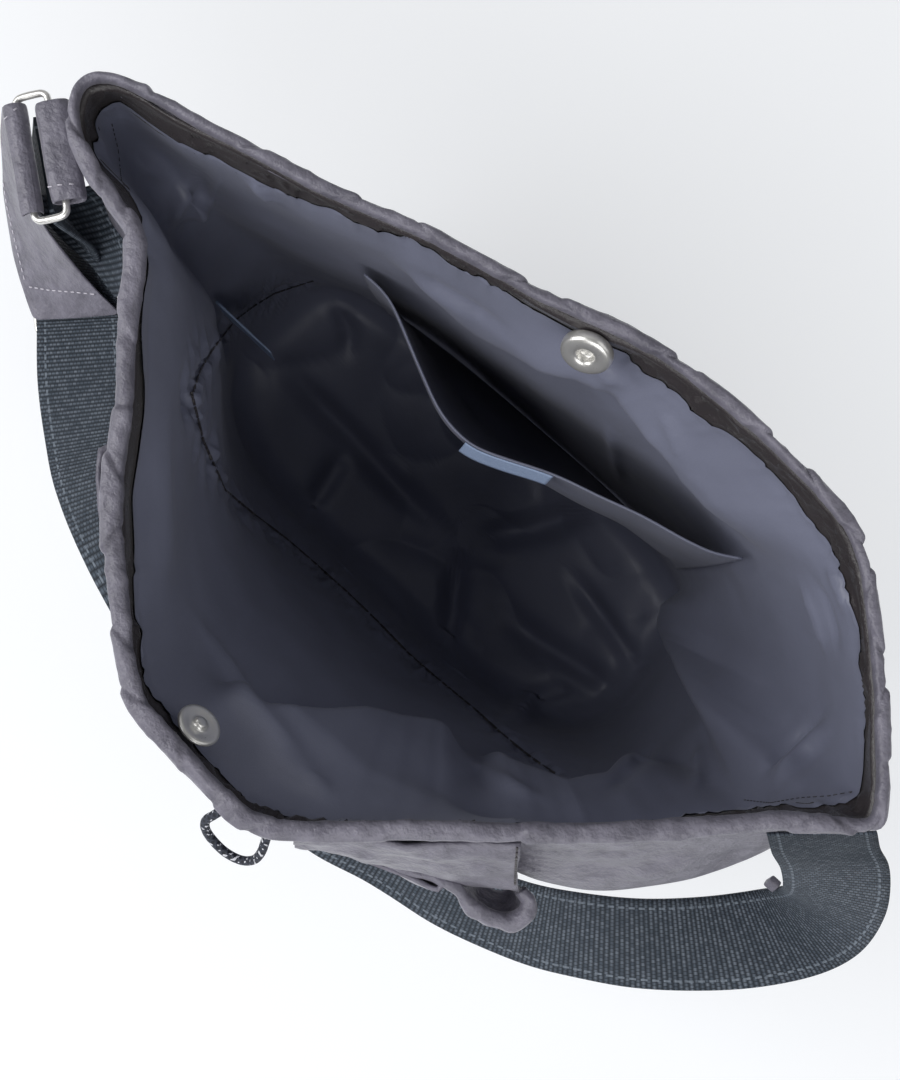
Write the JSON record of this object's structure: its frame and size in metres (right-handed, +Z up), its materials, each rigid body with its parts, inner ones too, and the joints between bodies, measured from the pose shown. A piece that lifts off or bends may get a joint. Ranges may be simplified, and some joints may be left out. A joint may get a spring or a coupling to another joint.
{
  "type": "shoulder bag",
  "caption": "Soft lined shoulder bag standing open on a flat base, with a padded rim, an inner open pocket, a front drawstring pocket, a magnetic snap and a hanging webbing strap.",
  "frame": {"origin": "middle of the base, on the surface that the bag stands on", "axes": "+X from the left side seam to the right one, +Y to the back panel, +Z up to the open mouth"},
  "size_m": [0.4443, 0.2418, 0.28],
  "materials": {
    "outer_nylon": "soft-sheen padded nylon, mauve grey",
    "facing_satin": "brown-black satin",
    "lining_satin": "slate-blue satin",
    "webbing": "ribbed navy-teal webbing with light flecks",
    "cord_braid": "dark navy braid with white flecks",
    "label_cloth": "plain pale-blue woven label",
    "satin_nickel": "satin nickel plate"
  },
  "bodies": {
    "root": {"outer_body": "outer_nylon", "rim_hem": "outer_nylon", "mouth_facing": "facing_satin", "lining": "lining_satin", "inner_pocket": "lining_satin", "pocket_label": "label_cloth", "inner_tag": "label_cloth", "front_pocket": "outer_nylon", "side_tab": "outer_nylon", "strap_ring": "satin_nickel", "strap_end_cover": "outer_nylon", "strap": "webbing", "slide_adjuster": "satin_nickel", "strap_keeper": "outer_nylon", "snap_socket": "satin_nickel", "snap_stud": "satin_nickel", "drawstring": "cord_braid"}
  },
  "joints": []
}
